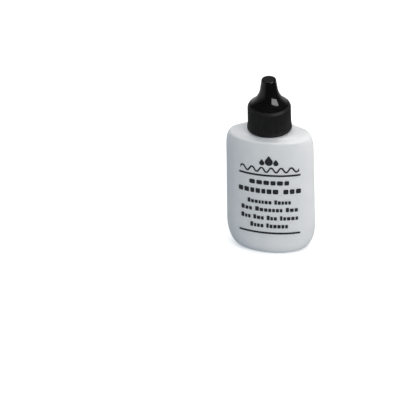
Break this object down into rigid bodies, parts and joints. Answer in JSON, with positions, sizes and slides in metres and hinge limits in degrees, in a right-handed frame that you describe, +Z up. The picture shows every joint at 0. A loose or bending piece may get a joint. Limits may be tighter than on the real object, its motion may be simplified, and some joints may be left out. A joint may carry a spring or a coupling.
{
  "type": "lens cleaner squeeze bottle",
  "caption": "Flattened soft-walled squeeze bottle of lens cleaner with a dropper plug and a ribbed screw cap with a tall nose.",
  "frame": {"origin": "centre of the base, at the level of the surface that the bottle stands on", "axes": "+Z up along the axis of the neck and the cap, +X along the body's width, printed front faces -Y"},
  "size_m": [0.0418, 0.0208, 0.0895],
  "materials": {
    "bottle": "milky white low-density polyethylene, soft satin",
    "dropper": "natural low-density polyethylene, soft satin",
    "cap": "black polypropylene, gloss dome over a satin ribbed skirt",
    "seal": "soft grey elastomer",
    "fluid": "clear water-like cleaning fluid"
  },
  "bodies": {
    "bottle": {"bottle": "bottle", "dropper_plug": "dropper", "cleaner_fluid": "fluid"},
    "seal": {"tip_seal": "seal"},
    "cap": {"screw_cap": "cap"}
  },
  "joints": [
    {"name": "cap_rise", "type": "slide", "parent": "bottle", "child": "seal", "axis": [0, 0, 1], "range_m": [0, 0.0254]},
    {"name": "cap_turn", "type": "hinge", "parent": "seal", "child": "cap", "pos_m": [0, 0, 0.064], "axis": [0, 0, 1], "range_deg": [0, 2880]}
  ],
  "couplings": [
    {"joint": "cap_turn", "follows": "cap_rise", "rad_per_m": 1979}
  ]
}
